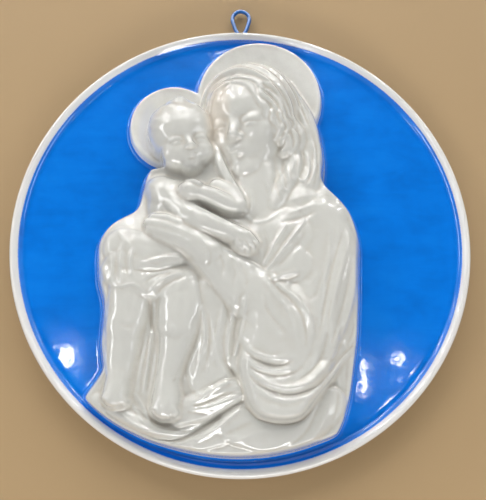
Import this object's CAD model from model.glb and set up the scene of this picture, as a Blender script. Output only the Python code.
import json
import math
import bpy
import numpy as np
from mathutils import Matrix, Vector
from mathutils.geometry import delaunay_2d_cdt


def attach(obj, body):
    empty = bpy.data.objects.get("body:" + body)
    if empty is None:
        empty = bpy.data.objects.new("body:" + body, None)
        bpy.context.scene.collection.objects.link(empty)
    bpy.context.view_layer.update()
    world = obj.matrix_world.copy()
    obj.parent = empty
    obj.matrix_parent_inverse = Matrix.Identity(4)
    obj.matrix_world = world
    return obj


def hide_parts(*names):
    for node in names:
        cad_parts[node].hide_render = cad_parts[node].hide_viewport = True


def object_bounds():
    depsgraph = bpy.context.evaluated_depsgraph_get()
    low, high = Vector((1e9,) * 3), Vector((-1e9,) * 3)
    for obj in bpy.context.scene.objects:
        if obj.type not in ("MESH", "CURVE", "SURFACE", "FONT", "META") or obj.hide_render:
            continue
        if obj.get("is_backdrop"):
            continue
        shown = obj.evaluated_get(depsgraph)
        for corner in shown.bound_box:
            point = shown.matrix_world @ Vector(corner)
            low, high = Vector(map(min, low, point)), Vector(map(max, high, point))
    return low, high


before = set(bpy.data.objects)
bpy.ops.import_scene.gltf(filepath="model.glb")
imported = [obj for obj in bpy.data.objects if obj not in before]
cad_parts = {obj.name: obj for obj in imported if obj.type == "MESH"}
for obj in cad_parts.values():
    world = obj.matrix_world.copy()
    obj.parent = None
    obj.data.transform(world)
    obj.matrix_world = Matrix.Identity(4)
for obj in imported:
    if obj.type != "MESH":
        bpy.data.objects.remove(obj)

first_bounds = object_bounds()
mm = 0.001

# ---------- driving sizes, in mm from the plaque's centre (u right, v up) and off the wall (h)
EYE_DROP, RIM_R, GROUND, BACK = 174.0, 150.0, 12.0, 5.0
FOOT_IN, FOOT_OUT = 118.0, 127.0
WIRE_D, WIRE_OFF, EYE_W, EYE_H = 2.7, 2.6, 9.6, 17.5
RELIEF_TOP = 48.15
STEP = 0.42                    # raster of the relief
AROUND = 512                   # points around the turned body
PAINT = 14.4                   # the blue runs up the flanks to about here
rng = np.random.default_rng(7)

# ---------- the relief as a height field
def smax(a, b, k):
    if k <= 0: return np.maximum(a, b)
    h = np.maximum(k - np.abs(a - b), 0.0)
    return np.maximum(a, b) + h * h * (0.25 / k)

def catmull(nodes, n):
    """Catmull-Rom through nodes (rows of any width), n steps a span."""
    P = np.array(nodes, float)
    if len(P) < 3: 
        t = np.linspace(0, 1, n * (len(P) - 1) + 1)[:, None]
        return P[0] * (1 - t) + P[-1] * t
    Q = np.vstack([2 * P[0] - P[1], P, 2 * P[-1] - P[-2]])
    out = []
    for i in range(1, len(Q) - 2):
        t = np.arange(n)[:, None] / n
        a, b, c, d = Q[i - 1], Q[i], Q[i + 1], Q[i + 2]
        out.append(0.5 * (2 * b + (c - a) * t + (2 * a - 5 * b + 4 * c - d) * t**2 + (3 * b - a - 3 * c + d) * t**3))
    out.append(P[-1][None])
    return np.vstack(out)

def catmull_closed(nodes, n):
    P = np.array(nodes, float); m = len(P); out = []
    t = np.arange(n)[:, None] / n
    for i in range(m):
        a, b, c, d = P[i - 1], P[i], P[(i + 1) % m], P[(i + 2) % m]
        out.append(0.5 * (2 * b + (c - a) * t + (2 * a - 5 * b + 4 * c - d) * t**2 + (3 * b - a - 3 * c + d) * t**3))
    return np.vstack(out)

DRAFT = 4.5

class Relief:
    def __init__(self, U, V, base):
        self.U, self.V = U, V
        self.H = np.full(U.shape, float(base))
    def window(self, lo, hi, pad):
        U, V = self.U, self.V
        if U.ndim == 2:
            us, vs = U[0], V[:, 0]
            i0, i1 = np.searchsorted(us, lo[0] - pad), np.searchsorted(us, hi[0] + pad)
            j0, j1 = np.searchsorted(vs, lo[1] - pad), np.searchsorted(vs, hi[1] + pad)
            return (slice(j0, j1), slice(i0, i1))
        m = (U > lo[0] - pad) & (U < hi[0] + pad) & (V > lo[1] - pad) & (V < hi[1] + pad)
        return np.nonzero(m)[0]
    def chain(self, nodes, n=6):
        """distance-normalised walk: returns window, s (0 centre..1 edge..), interpolated node values"""
        C = catmull(nodes, n)
        r = C[:, -1]
        lo, hi = C[:, :2].min(0), C[:, :2].max(0)
        return C, lo, hi, r.max()
    def limb(self, nodes, k=1.0, depth=1.0, n=6, draft=None):
        """tapered rounded bar: node = (u, v, top, r)"""
        C, lo, hi, R = self.chain(nodes, n)
        w = self.window(lo, hi, R + 9)
        u, v, H = self.U[w], self.V[w], self.H[w]
        if H.size == 0: return
        K = draft or DRAFT
        best = np.full(H.shape, -1e9)
        for a, b in zip(C[:-1], C[1:]):
            d = b - a; L2 = d[0]**2 + d[1]**2
            t = np.clip(((u - a[0]) * d[0] + (v - a[1]) * d[1]) / max(L2, 1e-9), 0, 1)
            dist = np.hypot(u - a[0] - t * d[0], v - a[1] - t * d[1])
            top = a[2] + t * d[2]; r = np.maximum(a[3] + t * d[3], 0.05)
            e = depth * r
            d1 = r * K / np.sqrt(depth**2 + K * K)
            c = top - e
            inside = c + depth * np.sqrt(np.maximum(r * r - np.minimum(dist, d1)**2, 0))
            h = inside - K * np.maximum(dist - d1, 0)
            np.maximum(best, h, out=best)
        self.H[w] = smax(H, best, k)
    def blob(self, cu, cv, top, ru, rv, ang=0.0, e=None, k=1.0, p=2.0):
        R = max(ru, rv)
        w = self.window((cu, cv), (cu, cv), R + 9)
        u, v, H = self.U[w] - cu, self.V[w] - cv, self.H[w]
        if H.size == 0: return
        ca, sa = np.cos(np.radians(ang)), np.sin(np.radians(ang))
        x, y = u * ca + v * sa, -u * sa + v * ca
        s = (np.abs(x / ru)**p + np.abs(y / rv)**p)**(1 / p)
        e = e or min(ru, rv)
        s1 = 0.97
        f = np.sqrt(np.maximum(1 - np.minimum(s, s1)**2, 0))
        h = top - e + e * f - DRAFT * np.maximum(s - s1, 0) * min(ru, rv)
        self.H[w] = smax(H, h, k)
    def polydist(self, pts, w):
        u, v = self.U[w], self.V[w]
        P = np.array(pts); Q = np.roll(P, -1, 0)
        best = np.full(u.shape, 1e18); inside = np.zeros(u.shape, bool)
        for a, b in zip(P, Q):
            d = b - a; L2 = max(d @ d, 1e-12)
            t = np.clip(((u - a[0]) * d[0] + (v - a[1]) * d[1]) / L2, 0, 1)
            best = np.minimum(best, (u - a[0] - t * d[0])**2 + (v - a[1] - t * d[1])**2)
            if a[1] != b[1]:
                c = (a[1] > v) != (b[1] > v)
                inside ^= c & (u < (b[0] - a[0]) * (v - a[1]) / (b[1] - a[1]) + a[0])
        return np.sqrt(best) * np.where(inside, 1, -1)
    def sheet(self, outline, heights, rho, base=12.0, k=1.0, n=3, p=2.3, soft=12.0):
        """pillow with a smooth outline: heights = [(u, v, h)], rho = rounding distance from the outline"""
        C = catmull_closed(outline, n)
        w = self.window(C.min(0), C.max(0), 3)
        d = self.polydist(C, w)
        u, v, H = self.U[w], self.V[w], self.H[w]
        num = np.zeros(u.shape); den = np.zeros(u.shape)
        for hu, hv, hh in heights:
            q = 1.0 / ((u - hu)**2 + (v - hv)**2 + soft**2)**2
            num += q * hh; den += q
        hin = num / den
        t = 1 - np.clip(d / rho, 0, 1)
        h = base + (hin - base) * (np.maximum(1 - t**p, 0))**(1 / p)
        h = np.where(d > 0, h, base + d * DRAFT)
        self.H[w] = smax(H, h, k)
    def clip(self, A, rho, p, k, n, outline, ground=12.0):
        """nothing carved stands above a rounded, drafted flank that rises from the outline"""
        C = catmull_closed(outline, n)
        d = self.polydist(C, Ellipsis)
        t = 1 - np.clip(d / rho, 0, 1)
        env = ground + A * np.maximum(1 - t**p, 0)**(1 / p)
        env = np.where(d >= rho, 99.0, env) + np.where(d > 0, 0, d * DRAFT)
        env = np.where((d > 0) & (d < rho), env + 12 * (d / rho)**4, env)
        self.H = -smax(-self.H, -env, k)
    def groove(self, nodes, n=6, sharp=1.0, side=0):
        """nodes = (u, v, depth, w): takes depth away along a line (negative depth adds a ridge)"""
        C, lo, hi, R = self.chain(nodes, n)
        w = self.window(lo, hi, 3 * R + 1)
        u, v = self.U[w], self.V[w]
        if u.size == 0: return
        bestd = np.full(u.shape, 1e9); A = np.zeros(u.shape)
        for a, b in zip(C[:-1], C[1:]):
            d = b - a; L2 = max(d[0]**2 + d[1]**2, 1e-9)
            t = np.clip(((u - a[0]) * d[0] + (v - a[1]) * d[1]) / L2, 0, 1)
            dist = np.hypot(u - a[0] - t * d[0], v - a[1] - t * d[1])
            s = dist / np.maximum(a[3] + t * d[3], 0.05)
            m = s < bestd
            bestd = np.where(m, s, bestd); A = np.where(m, a[2] + t * d[2], A)
        if sharp == 1.0:
            g = np.exp(-(bestd**2) * 1.4)
        else:
            g = np.exp(-np.abs(bestd) ** sharp * 1.6)
        self.H[w] -= A * g

# ---------- a head as a distance field, in units of half its height: x right, y to the viewer, z up
def _len(x, y, z): return np.sqrt(x * x + y * y + z * z)
def _ell(p, c, r):
    x, y, z = (p[i] - c[i] for i in range(3))
    k0 = _len(x / r[0], y / r[1], z / r[2]); k1 = _len(x / r[0]**2, y / r[1]**2, z / r[2]**2)
    return k0 * (k0 - 1) / np.maximum(k1, 1e-9)
def _cap(p, a, b, ra, rb):
    ax, ay, az = (p[i] - a[i] for i in range(3)); bx, by, bz = (b[i] - a[i] for i in range(3))
    t = np.clip((ax * bx + ay * by + az * bz) / (bx * bx + by * by + bz * bz + 1e-12), 0, 1)
    return _len(ax - t * bx, ay - t * by, az - t * bz) - (ra + (rb - ra) * t)
def _su(a, b, k):
    h = np.maximum(k - np.abs(a - b), 0); return np.minimum(a, b) - h * h * 0.25 / k
def _ss(a, b, k):
    """a minus b"""
    h = np.maximum(k - np.abs(a + b), 0); return np.maximum(a, -b) + h * h * 0.25 / k

def rot3(yaw, pitch, roll):
    """head turn: yaw>0 turns the face to the viewer's left, pitch>0 bows it, roll>0 leans the crown to the viewer's left; head axes x right, y to the viewer, z up"""
    a, b, c = np.radians([yaw, pitch, roll])
    # yaw about z: face (+y) goes towards -x
    Rz = np.array([[np.cos(a), -np.sin(a), 0], [np.sin(a), np.cos(a), 0], [0, 0, 1]])
    # pitch about x: face (+y) goes down (-z)
    Rx = np.array([[1, 0, 0], [0, np.cos(b), np.sin(b)], [0, -np.sin(b), np.cos(b)]])
    # roll about y (view axis): crown (+z) goes to -x
    Ry = np.array([[np.cos(c), 0, -np.sin(c)], [0, 1, 0], [np.sin(c), 0, np.cos(c)]])
    return Ry @ Rz @ Rx


def head_sdf(p, kind):
    x, y, z = p; ax = np.abs(x); q = (ax, y, z)
    if kind == "adult":
        d = _ell(p, (0, -0.10, 0.22), (0.66, 0.84, 0.78))
        d = _su(d, _ell(p, (0, 0.30, 0.30), (0.50, 0.45, 0.44)), 0.12)
        d = _su(d, _ell(p, (0, 0.20, -0.26), (0.50, 0.47, 0.58)), 0.12)
        d = _su(d, _cap(q, (0.42, -0.02, -0.38), (0.10, 0.46, -0.80), 0.15, 0.15), 0.16)      # jaw
        d = _su(d, _ell(p, (0, 0.50, -0.82), (0.19, 0.17, 0.16)), 0.12)                         # chin
        d = _su(d, _ell(q, (0.33, 0.40, -0.20), (0.22, 0.22, 0.24)), 0.14)                      # cheek
        d = _ss(d, _ell(q, (0.27, 0.85, 0.01), (0.25, 0.29, 0.165)), 0.11)                      # socket
        d = _su(d, _cap(q, (0.10, 0.665, 0.155), (0.46, 0.50, 0.11), 0.045, 0.05), 0.10)        # brow
        d = _su(d, _cap(p, (0, 0.60, 0.16), (0, 0.825, -0.22), 0.072, 0.078), 0.09)             # bridge
        d = _su(d, _ell(p, (0, 0.820, -0.250), (0.074, 0.085, 0.070)), 0.06)                     # tip
        d = _su(d, _ell(q, (0.088, 0.715, -0.280), (0.048, 0.070, 0.050)), 0.05)                # wing
        d = _su(d, _ell(p, (0, 0.50, -0.50), (0.25, 0.235, 0.20)), 0.10)                        # muzzle
        ball = _len((ax - 0.270) / 1.12, y - 0.497, (z + 0.005) / 0.96)
        eye = ball - 0.163
        lid = ball - 0.192                                                                       # lids: a shell with a narrow gap
        gap = np.abs(z + 0.048 + 0.9 * (ax - 0.270) ** 2) - 0.024
        lid = _ss(lid, gap, 0.014)
        lid = _ss(lid, _cap(q, (0.13, 0.65, 0.082), (0.42, 0.57, 0.070), 0.028, 0.024), 0.03)    # crease over the lid
        d = _su(d, np.minimum(eye, lid), 0.026)
        d = _su(d, _cap(q, (0.0, 0.728, -0.464), (0.185, 0.635, -0.512), 0.044, 0.018), 0.026)  # upper lip
        d = _su(d, _cap(q, (0.0, 0.718, -0.566), (0.150, 0.640, -0.532), 0.052, 0.018), 0.026)  # lower lip
        d = _ss(d, _cap(q, (0.0, 0.785, -0.513), (0.215, 0.650, -0.520), 0.024, 0.015), 0.018)  # mouth line
        d = _ss(d, _ell(p, (0, 0.80, -0.66), (0.17, 0.13, 0.055)), 0.07)                        # under the lip
        d = _ss(d, _cap(p, (0, 0.80, -0.375), (0, 0.785, -0.435), 0.020, 0.024), 0.03)          # philtrum
        win = _ell(p, (0, 0.98, -0.13), (0.585, 0.86, 0.90))
        hair = _ss(_ell(p, (0, -0.10, 0.23), (0.765, 0.92, 0.815)), win, 0.06)
        hair = _su(hair, _ell(q, (0.60, 0.02, -0.08), (0.235, 0.42, 0.44)), 0.10)              # swept over the ears
        hair = _su(hair, _ell(q, (0.60, -0.30, -0.44), (0.26, 0.36, 0.42)), 0.10)              # and gathered low
        hair = _ss(hair, _ell(p, (0, 0.72, -1.05), (0.58, 1.00, 0.62)), 0.08)
        fl = win + 0.050 * np.sin(13.0 * z + 5.0 * y)                                            # wavy locks swept back from the parting
        lock = (np.sin(fl * 40) * 0.026 + np.sin(fl * 83 + 2 * z) * 0.010) * np.clip(win * 9, 0, 1)
        part = np.exp(-(x / 0.035)**2) * 0.03 * np.clip((z - 0.3) * 4, 0, 1)
        d = _su(d, hair - lock + part, 0.02)
        cut = (y - 0.24 - 0.26 * z + 0.05 * np.cos(3.1 * x)) * 0.94                             # the veil's front edge, over the crown and behind the ears
        t = np.maximum(-cut, 0)
        vf = 0.034 * np.cos(t * 30 - 0.3) * np.exp(-t * 1.5) + 0.006 * np.sin(11 * z + 23 * t)
        veil = _ell(p, (0.01, -0.16, 0.27), (0.865, 0.98, 0.915)) - vf
        veil = -_su(-veil, -cut, 0.03)
        veil = _ss(veil, _ell(p, (0, 1.0, -1.5), (1.2, 1.6, 0.9)), 0.10)
        d = _su(d, veil, 0.012)
        return d
    # child
    d = _ell(p, (0, -0.08, 0.24), (0.80, 0.84, 0.76))
    d = _su(d, _ell(p, (0, 0.28, 0.26), (0.62, 0.50, 0.50)), 0.14)
    d = _su(d, _ell(p, (0, 0.20, -0.34), (0.62, 0.48, 0.52)), 0.14)
    d = _su(d, _ell(p, (0, 0.44, -0.78), (0.22, 0.20, 0.17)), 0.14)
    d = _su(d, _ell(q, (0.36, 0.34, -0.42), (0.28, 0.28, 0.28)), 0.14)
    d = _ss(d, _ell(q, (0.29, 0.85, -0.115), (0.25, 0.30, 0.165)), 0.11)
    d = _su(d, _cap(q, (0.12, 0.675, 0.045), (0.46, 0.53, 0.015), 0.05, 0.06), 0.10)
    d = _su(d, _cap(p, (0, 0.62, 0.00), (0, 0.78, -0.28), 0.075, 0.075), 0.09)
    d = _su(d, _ell(p, (0, 0.795, -0.315), (0.095, 0.085, 0.075)), 0.05)
    d = _su(d, _ell(q, (0.095, 0.715, -0.335), (0.055, 0.065, 0.052)), 0.035)
    d = _su(d, _ell(p, (0, 0.47, -0.52), (0.25, 0.23, 0.18)), 0.10)
    ball = _len((ax - 0.290) / 1.14, y - 0.490, (z + 0.13) / 0.96)
    eye = ball - 0.165
    lid = ball - 0.198
    gap = np.abs(z + 0.165 + 0.9 * (ax - 0.290) ** 2) - 0.026
    lid = _ss(lid, gap, 0.014)
    lid = _ss(lid, _cap(q, (0.14, 0.64, -0.045), (0.44, 0.57, -0.055), 0.028, 0.024), 0.03)
    d = _su(d, np.minimum(eye, lid), 0.026)
    d = _su(d, _cap(q, (0.0, 0.675, -0.492), (0.150, 0.610, -0.520), 0.044, 0.020), 0.028)
    d = _su(d, _cap(q, (0.0, 0.665, -0.578), (0.115, 0.615, -0.552), 0.050, 0.022), 0.028)
    d = _ss(d, _cap(q, (0.0, 0.742, -0.535), (0.175, 0.625, -0.537), 0.024, 0.015), 0.018)
    d = _ss(d, _ell(p, (0, 0.74, -0.665), (0.15, 0.12, 0.050)), 0.06)
    d = _ss(d, _cap(p, (0, 0.745, -0.415), (0, 0.735, -0.460), 0.018, 0.022), 0.03)
    hair = _ss(_ell(p, (0, -0.09, 0.27), (0.835, 0.885, 0.795)), _ell(p, (0, 0.98, -0.10), (0.66, 0.68, 0.68)), 0.10)
    hair = _ss(hair, _ell(p, (0.25, 0.70, -1.0), (1.0, 1.0, 0.70)), 0.10)
    hair = _su(hair, _ell(p, (0.04, 0.22, 1.00), (0.15, 0.22, 0.10)), 0.14)                       # a soft tuft
    a = np.arctan2(x + 0.15, z - 0.2); lock = np.sin(a * 8 + 2.2 * np.sin(8 * z + 3 * x)) * np.sin(8 * y + 5 * x + 2) * 0.016 * np.clip((z + 0.1) * 3, 0, 1)
    d = _su(d, hair - lock, 0.04)
    return d

def head_height(rel, kind, cu, cv, ch, s, flat, yaw, pitch, roll, k=1.0, steps=70, cut=None):
    """project the head on the relief along the wall's normal"""
    w = rel.window((cu, cv), (cu, cv), 1.25 * s)
    u, v, H = rel.U[w], rel.V[w], rel.H[w]
    if H.size == 0: return
    R = rot3(yaw, pitch, roll)   # head -> relief axes (x right, y out, z up)
    x = (u - cu) / s; z = (v - cv) / s
    y = np.full(x.shape, 1.15)
    alive = np.ones(x.shape, bool); hit = np.zeros(x.shape, bool)
    for i in range(steps):
        P = np.stack([x, y, z])                      # relief axes
        q = np.tensordot(R.T, P, 1)
        d = head_sdf(q, kind)
        hit |= alive & (d < 0.0015)
        step = np.where(alive & ~hit, np.clip(d, 0.0012, 0.25) * 0.85, 0)
        y = y - step
        alive &= (y > -0.9)
    h = ch + y * s * flat
    h = np.where(hit, h, -1e3)
    rel.H[w] = smax(H, h, k)


OPS = [
    ["sheet","figure",3,12,0.6,2,2,14,[[-58.3,43.9],[-61.8,40.4],[-64.1,34.1],[-65.4,27.2],[-66.5,21.6],[-67.9,16.9],[-70.9,13.7],[-78.1,10],[-84.7,5.2],[-88.9,-0.3],[-91.9,-7.7],[-92.2,-17],[-91,-30.1],[-89.3,-36.9],[-87.5,-43.3],[-86.7,-50.6],[-87.2,-62],[-87.3,-71.3],[-86,-80.5],[-85.7,-86.3],[-89.7,-93.3],[-93.9,-99.5],[-94.9,-103.8],[-88.1,-110.2],[-78.9,-116.9],[-66.6,-123.6],[-54.6,-128.7],[-39.6,-133.1],[-24.6,-136.2],[-6.5,-138],[11.5,-137.5],[23.3,-135.8],[35.4,-133.1],[46.9,-129.3],[55.8,-125.8],[58.7,-122.7],[62.1,-115.6],[64.7,-107.9],[67.1,-97.7],[68.8,-88],[70.4,-78.8],[72.5,-66.9],[73.6,-54.3],[74.7,-39.5],[75.5,-23.1],[76.3,-9.8],[75.9,-2.4],[74,6],[71.1,13.7],[66.7,20.6],[61.2,26.6],[56.2,31.8],[53.8,38.4],[53.7,47],[53.7,54.9],[52.8,63.7],[51.2,71.4],[49.3,78.8],[41,88],[27.3,93.9],[6.7,96.8],[-12.6,93.6],[-20.7,81.5],[-24.6,66.8],[-28.5,55.9],[-39.1,47.9]],[[27,-9.3,36.5],[56.2,9.1,32],[58.3,-20.7,31.5],[64.5,-45.3,29],[35.8,-22.2,37.5],[40.8,-59,38],[64.3,-69.8,28],[-13.9,-64.4,33],[28.3,-122.3,30],[52.2,-119.6,27.5],[5,-125,29.5],[-24.1,-122.2,28],[-47.5,-122.1,27],[-65.4,-113.6,26.5],[-80.1,-102,26],[-47.7,14.1,33.5],[-57.1,29,27],[-60.5,19.4,27.5],[-68.5,-9.1,34.5],[-79.7,-19.7,31],[-49.5,-23.3,36],[-55.8,-75.9,29],[-78.7,-64.1,31],[-76.6,-87.7,30],[-27.6,-73.1,31.5],[-86.9,-103.7,24],[10.8,21.3,32.5],[6,67.1,30],[38.4,52.8,31],[46.6,54.2,28],[-6.9,-16.1,38],[-21.4,-100.6,31],[59,-99.4,27],[-31,-46.4,34]]],
    ["limb","upper_arm",8,0.5,5,[[50.8,3.6,35,15],[55.5,-15,37,16.6],[51.4,-37.4,39,18.1],[42.2,-57.7,40.5,20.2]]],
    ["limb","mantle_side",6,0.5,5,[[65.1,-13.8,31,8.8],[65.6,-45.5,31,8.6],[62.5,-66.8,30,8.5]]],
    ["blob","chest",24,-5.2,37.8,19.7,18.5,0,10,9,2],
    ["blob","breast",27.9,-23.3,38.8,14.6,12.2,0,7,8,2],
    ["limb","neck",6,0.6,5,[[8.4,51.8,35,11.6],[10.2,32.2,36,11.4],[10.6,15.9,37,13.1]]],
    ["limb","shoulder_r",7,0.5,5,[[36.1,15,33.5,11.4],[56.4,10.1,32.5,10.8]]],
    ["limb","forearm",6,0.5,5,[[-23.2,-15.8,42.5,8.4],[-9.3,-28,42.5,12],[5.2,-40.6,42,15.5],[23.1,-51.9,41,18.4]]],
    ["limb","swag_body",6,0.4,5,[[12.2,-65,40,14.2],[25.6,-77.9,40,17.6],[37.7,-67.9,40,20.1]]],
    ["limb","lap_fall",9,0.4,5,[[-23.2,-43.9,35,10.2],[-20,-61.4,34.5,11.9],[-21,-77.3,33.5,13],[-19.7,-90.8,32.5,11.8]]],
    ["limb","lap_low",7,0.4,5,[[-7.8,-100.7,33,7.6],[-23,-106.9,33,7.6],[-36.9,-112,32,6.4]]],
    ["limb","hem_low",8,0.4,5,[[-3.1,-118.8,32,10.4],[13.2,-123.9,31.5,9.3],[34.2,-120.6,31.5,9.9],[52.4,-106.4,30.5,8.9]]],
    ["limb","hem_left",6,0.5,5,[[-13.6,-123.3,31,6.9],[-32.7,-128.3,29,5.2],[-53.2,-123.2,29,5.2],[-74.1,-112.4,28,5.3],[-84.8,-104.9,26,4.7]]],
    ["blob","child_body",-41.9,14.4,38.5,17.3,18.6,20,12,10,2],
    ["blob","child_shoulder",-48.9,24.1,38.8,13.7,10.6,-35,14,9,2],
    ["limb","hip_cloth",8,0.4,5,[[-73.3,-12.9,36,12.2],[-60.6,-15.9,38,12.1],[-46.4,-19.2,38.5,9.7]]],
    ["limb","hip_cloth_low",7,0.4,5,[[-75,-26.9,36.5,10.9],[-64.4,-30.9,37.5,10.2],[-52.1,-35.3,38,9],[-40.6,-34.3,39,7.2]]],
    ["limb","thigh_l",5,0.55,5,[[-68.9,-37.6,38,12],[-69.5,-51.6,38,11.8],[-71.5,-61.2,37.5,10.6]]],
    ["limb","shin_l",3.5,0.6,5,[[-71.6,-60,37.5,10.3],[-72.1,-71.7,36.5,9.7],[-73,-82.1,35,8.2],[-73.5,-92,34.5,6.7]]],
    ["limb","thigh_r",6,0.6,5,[[-36.9,-36.7,40,10.2],[-37.7,-49.2,42,12.4],[-38.7,-60.5,41.5,11.7]]],
    ["limb","shin_r",3.5,0.7,5,[[-38.7,-62.7,41,10.5],[-40.5,-74.4,39.5,8.7],[-42.7,-84.7,38,7.1],[-45.1,-96.2,37,6.4]]],
    ["limb","foot_l",3,0.75,5,[[-73.9,-92.6,35.5,6.7],[-74.2,-98.4,37.5,7],[-74.8,-102.7,38,6.3]]],
    ["limb","foot_r",3,0.75,5,[[-44.4,-97.9,38,6.9],[-44.6,-103.6,40,7.7],[-45.6,-108.4,40.5,6.8]]],
    ["limb","toe_l0",0.9,0.8,5,[[-79.1,-100.2,36.8,1.3],[-80.4,-103.1,36.6,1.3]]],
    ["limb","toe_l1",0.9,0.8,5,[[-77.4,-101.8,36.8,1.4],[-78.1,-104.6,36.6,1.4]]],
    ["limb","toe_l2",0.9,0.8,5,[[-75.5,-103,36.8,1.6],[-75.7,-105.8,36.6,1.5]]],
    ["limb","toe_l3",0.9,0.8,5,[[-73.4,-103.5,36.8,1.8],[-72.9,-106.3,36.6,1.8]]],
    ["limb","toe_l4",0.9,0.8,5,[[-71.1,-102.5,36.8,2.2],[-69.8,-105.3,36.6,2.2]]],
    ["limb","toe_r0",0.9,0.8,5,[[-49.9,-106.3,39,1.4],[-51.2,-109.1,38.8,1.4]]],
    ["limb","toe_r1",0.9,0.8,5,[[-47.9,-108.2,39,1.5],[-48.6,-111,38.8,1.5]]],
    ["limb","toe_r2",0.9,0.8,5,[[-45.9,-109.6,39,1.7],[-46,-112.3,38.8,1.7]]],
    ["limb","toe_r3",0.9,0.8,5,[[-43.7,-110.1,39,1.9],[-43,-112.9,38.8,1.9]]],
    ["limb","toe_r4",0.9,0.8,5,[[-41.1,-108.8,39,2.4],[-39.5,-111.6,38.8,2.4]]],
    ["limb","arm_a",3.5,0.8,5,[[-45.8,21,38,6.8],[-39,12.2,43,7.6],[-28.2,4.7,46.5,7.2],[-15.4,-0.9,46,6],[-5.7,-4.5,45,4.8]]],
    ["limb","arm_b_upper",4,0.6,5,[[-15.8,26.9,38,5],[-7,21.7,39.5,5],[-2,14.6,41,4.3]]],
    ["limb","arm_b",2.6,0.75,5,[[-2.6,11.9,39.5,3.4],[-6.3,13,42,4.3],[-11.9,15.7,44,5.3],[-20.5,19.4,45.2,5],[-28.5,21.2,46.4,4.5]]],
    ["blob","fist_b",-32.4,21.4,48.4,7.3,5.5,-18,6,2,2],
    ["groove","finger_b0_fine",5,1.45,[[-30.9,22.8,0.1,0.67],[-30.2,22.5,0.5,0.67],[-29.7,21.9,0.5,0.67],[-29.5,21.2,0.5,0.67],[-29.8,20.5,0.5,0.67],[-30.4,20,0.5,0.67],[-31.2,19.8,0.1,0.67]]],
    ["groove","finger_b1_fine",5,1.45,[[-30.5,24.3,0.1,0.67],[-29,23.7,0.5,0.67],[-28,22.5,0.5,0.67],[-27.7,21,0.5,0.67],[-28.3,19.7,0.5,0.67],[-29.5,18.7,0.5,0.67],[-31.1,18.3,0.1,0.67]]],
    ["limb","thumb_b",1.2,0.85,5,[[-26.6,24.9,47.2,1.7],[-30.3,26.2,47.8,1.6],[-34,26.3,47.2,1.4]]],
    ["limb","hand_a",2.5,0.75,5,[[-5.7,-4.6,45.5,4.8],[-0.9,-7.3,46,5.1],[3.3,-9.7,45.5,4.5]]],
    ["limb","finger_a0",0.8,0.9,5,[[3.3,-6.1,45.6,1.6],[5.7,-9,45.8,1.6],[8.2,-11.4,44.3,1.3]]],
    ["limb","finger_a1",0.8,0.9,5,[[1.5,-8.6,45.6,1.6],[3.9,-11.6,45.8,1.6],[6.4,-14.2,44.3,1.3]]],
    ["limb","finger_a2",0.8,0.9,5,[[-0.9,-10.5,45.6,1.6],[1.2,-13.4,45.8,1.6],[3.3,-15.8,44.3,1.3]]],
    ["limb","finger_a3",0.8,0.9,5,[[-3.3,-11.1,45.6,1.6],[-1.8,-13.5,45.8,1.6],[-0.3,-15.5,44.3,1.3]]],
    ["limb","hand_m",3,0.65,5,[[-20.8,-16.2,44.5,8.4],[-29.9,-10.1,45,7.8],[-39,-5,44.5,6.9]]],
    ["limb","finger_m0",1,0.8,5,[[-38.5,0.6,44,3],[-47.2,3.9,43.5,2.8],[-54.7,5,42,2.4]]],
    ["limb","finger_m1",1,0.8,5,[[-38.4,-4,44.5,3],[-47.6,-0.4,44,2.9],[-57.6,2.1,42,2.6]]],
    ["limb","finger_m2",1,0.8,5,[[-37.1,-8.4,44.5,3],[-46.9,-4.8,44,2.8],[-56.9,-1.6,41.5,2.5]]],
    ["limb","finger_m3",1,0.8,5,[[-34.6,-12.6,44,2.9],[-43.2,-9.2,43,2.7],[-52.6,-5.3,41,2.3]]],
    ["sheet","swag",6,27,2.5,2,2,8,[[5.8,-51.5],[2.8,-61.8],[-0.5,-71.9],[-2.6,-80.7],[-2.6,-87.1],[-0.3,-96.3],[2.6,-105.4],[6.6,-112.1],[12.9,-115.8],[23.9,-117.2],[34.3,-115],[39.7,-109.4],[44.5,-103.2],[52.4,-94],[61.7,-82.5],[71.7,-71.9],[78.4,-58.7],[65.7,-46.6],[41.6,-40.5],[20.4,-41.8]],[[8,-65.1,39],[0.8,-83.9,39.5],[5.9,-105.5,40.5],[23.5,-113.3,41.5],[36.2,-108.3,41],[45.4,-97.1,39.5],[62.4,-73.1,31],[69.2,-63.8,29],[22.6,-74,39],[22.3,-91.3,39],[34.7,-59.3,39.5],[56.4,-58.4,34]]],
    ["groove","swag_v1",5,1.45,[[1.5,-76.3,1.2,1.41],[7.3,-80.9,2.6,1.75],[15.4,-84.4,3.4,1.87],[23,-84.7,2.6,1.75],[28.9,-82.7,0.8,1.52]]],
    ["groove","swag_r1",5,1.45,[[0.9,-72.8,-0.8,1.88],[7.9,-78,-1.4,1.99],[16.7,-80.9,-1.4,2.11],[24.9,-80.4,-0.6,1.88]]],
    ["groove","swag_v2",5,1.45,[[4.9,-86.1,0.8,1.28],[10.7,-89,1.8,1.51],[17.7,-90.7,2,1.51],[25.9,-90.2,1.4,1.51],[33.5,-86.7,0.8,1.75],[39,-79.8,0.7,2],[42.2,-69.9,0.9,2.01],[43.7,-58,0.9,1.79]]],
    ["groove","swag_r2",5,1.45,[[2.6,-81.5,-0.6,1.52],[9.6,-86.1,-1.1,1.63],[17.7,-87.9,-1.2,1.63],[25.9,-87.3,-0.8,1.63]]],
    ["groove","swag_v3",5,1.45,[[2.6,-88.4,0.4,1.4],[7.2,-94.1,1.8,1.74],[14.8,-98.7,2.8,1.86],[23.4,-101.5,3.4,1.97],[32.7,-100.9,3.4,1.97],[42.1,-97,3,1.86],[51.1,-89,2.8,1.76],[59.2,-79.1,2.4,1.65],[67.8,-70.9,1.6,1.54]]],
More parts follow.
